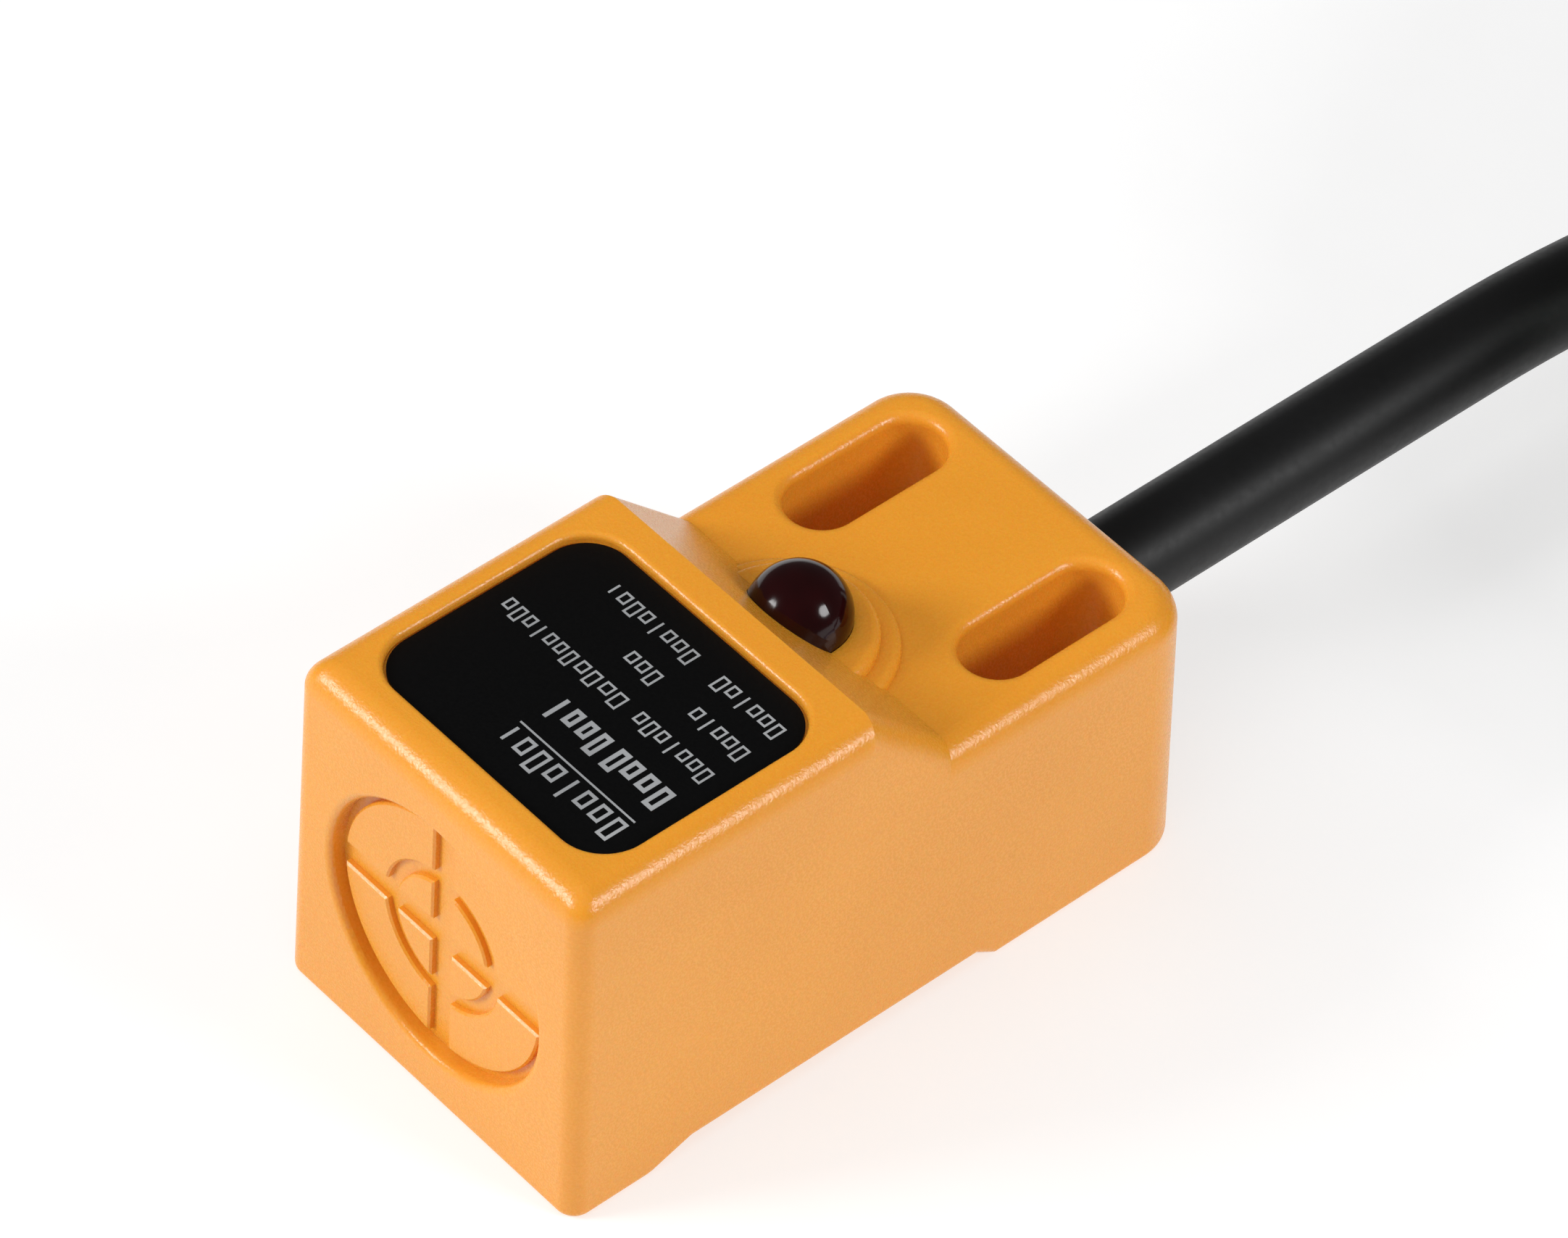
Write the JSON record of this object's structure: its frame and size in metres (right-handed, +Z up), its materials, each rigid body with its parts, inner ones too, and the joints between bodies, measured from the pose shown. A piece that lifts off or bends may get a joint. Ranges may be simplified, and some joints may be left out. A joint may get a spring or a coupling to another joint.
{
  "type": "proximity sensor",
  "caption": "Rectangular inductive proximity sensor: stepped plastic housing with slotted screw holes, a dome indicator, a grooved round face and a coiled cable with bare ends.",
  "frame": {"origin": "under the middle of the housing, on the surface that its two feet stand on", "axes": "+Z up, square to the name plate; -Y out of the round sensing face; +Y along the cable as it leaves the housing; +X to the right for someone who faces the sensing face from in front and looks along +Y"},
  "size_m": [0.0688, 0.1187, 0.0185],
  "materials": {
    "housing_plastic": "fine spark-eroded texture, satin, moulded orange",
    "plate_plastic": null,
    "lens_plastic": "polished, very dark red",
    "led_resin": "clear red",
    "tinned_metal": "tin plated",
    "solder": "bright solder",
    "ferrite": "dark grey sintered ferrite",
    "bobbin_plastic": "natural",
    "copper": "bare or enamelled copper",
    "board_laminate": "green solder mask",
    "package_epoxy": "moulded black",
    "tantalum_epoxy": "moulded yellow",
    "resistor_ceramic": "glazed black",
    "capacitor_ceramic": "tan ceramic",
    "wire_brown": "satin insulation",
    "wire_blue": "satin insulation",
    "wire_black": "satin insulation",
    "clamp_metal": "plated",
    "seal_rubber": "matt",
    "resin": "cast, level and glossy",
    "cable_jacket": "soft satin black PVC",
    "tie_nylon": "natural nylon"
  },
  "bodies": {
    "root": {"bare_ends": "copper", "cable": "cable_jacket", "cable_clamp": "clamp_metal", "cable_coil": "cable_jacket", "cable_seal": "seal_rubber", "cable_tail": "cable_jacket", "ceramic_capacitors": "capacitor_ceramic", "circuit_board": "board_laminate", "coil_bobbin": "bobbin_plastic", "coil_leads": "copper", "coil_tie_1": "tie_nylon", "coil_tie_2": "tie_nylon", "coil_winding": "copper", "component_pins": "tinned_metal", "ferrite_core": "ferrite", "housing": "housing_plastic", "indicator_led": "led_resin", "indicator_lens": "lens_plastic", "inner_strands": "copper", "inner_wire_black": "wire_black", "inner_wire_blue": "wire_blue", "inner_wire_brown": "wire_brown", "led_legs": "tinned_metal", "loose_wire_black": "wire_black", "loose_wire_blue": "wire_blue", "loose_wire_brown": "wire_brown", "name_plate": "plate_plastic", "output_diode": "package_epoxy", "output_transistor": "package_epoxy", "potting_resin": "resin", "resistors": "resistor_ceramic", "sensor_ic": "package_epoxy", "solder_joints": "solder", "supply_capacitor": "tantalum_epoxy"}
  },
  "joints": []
}
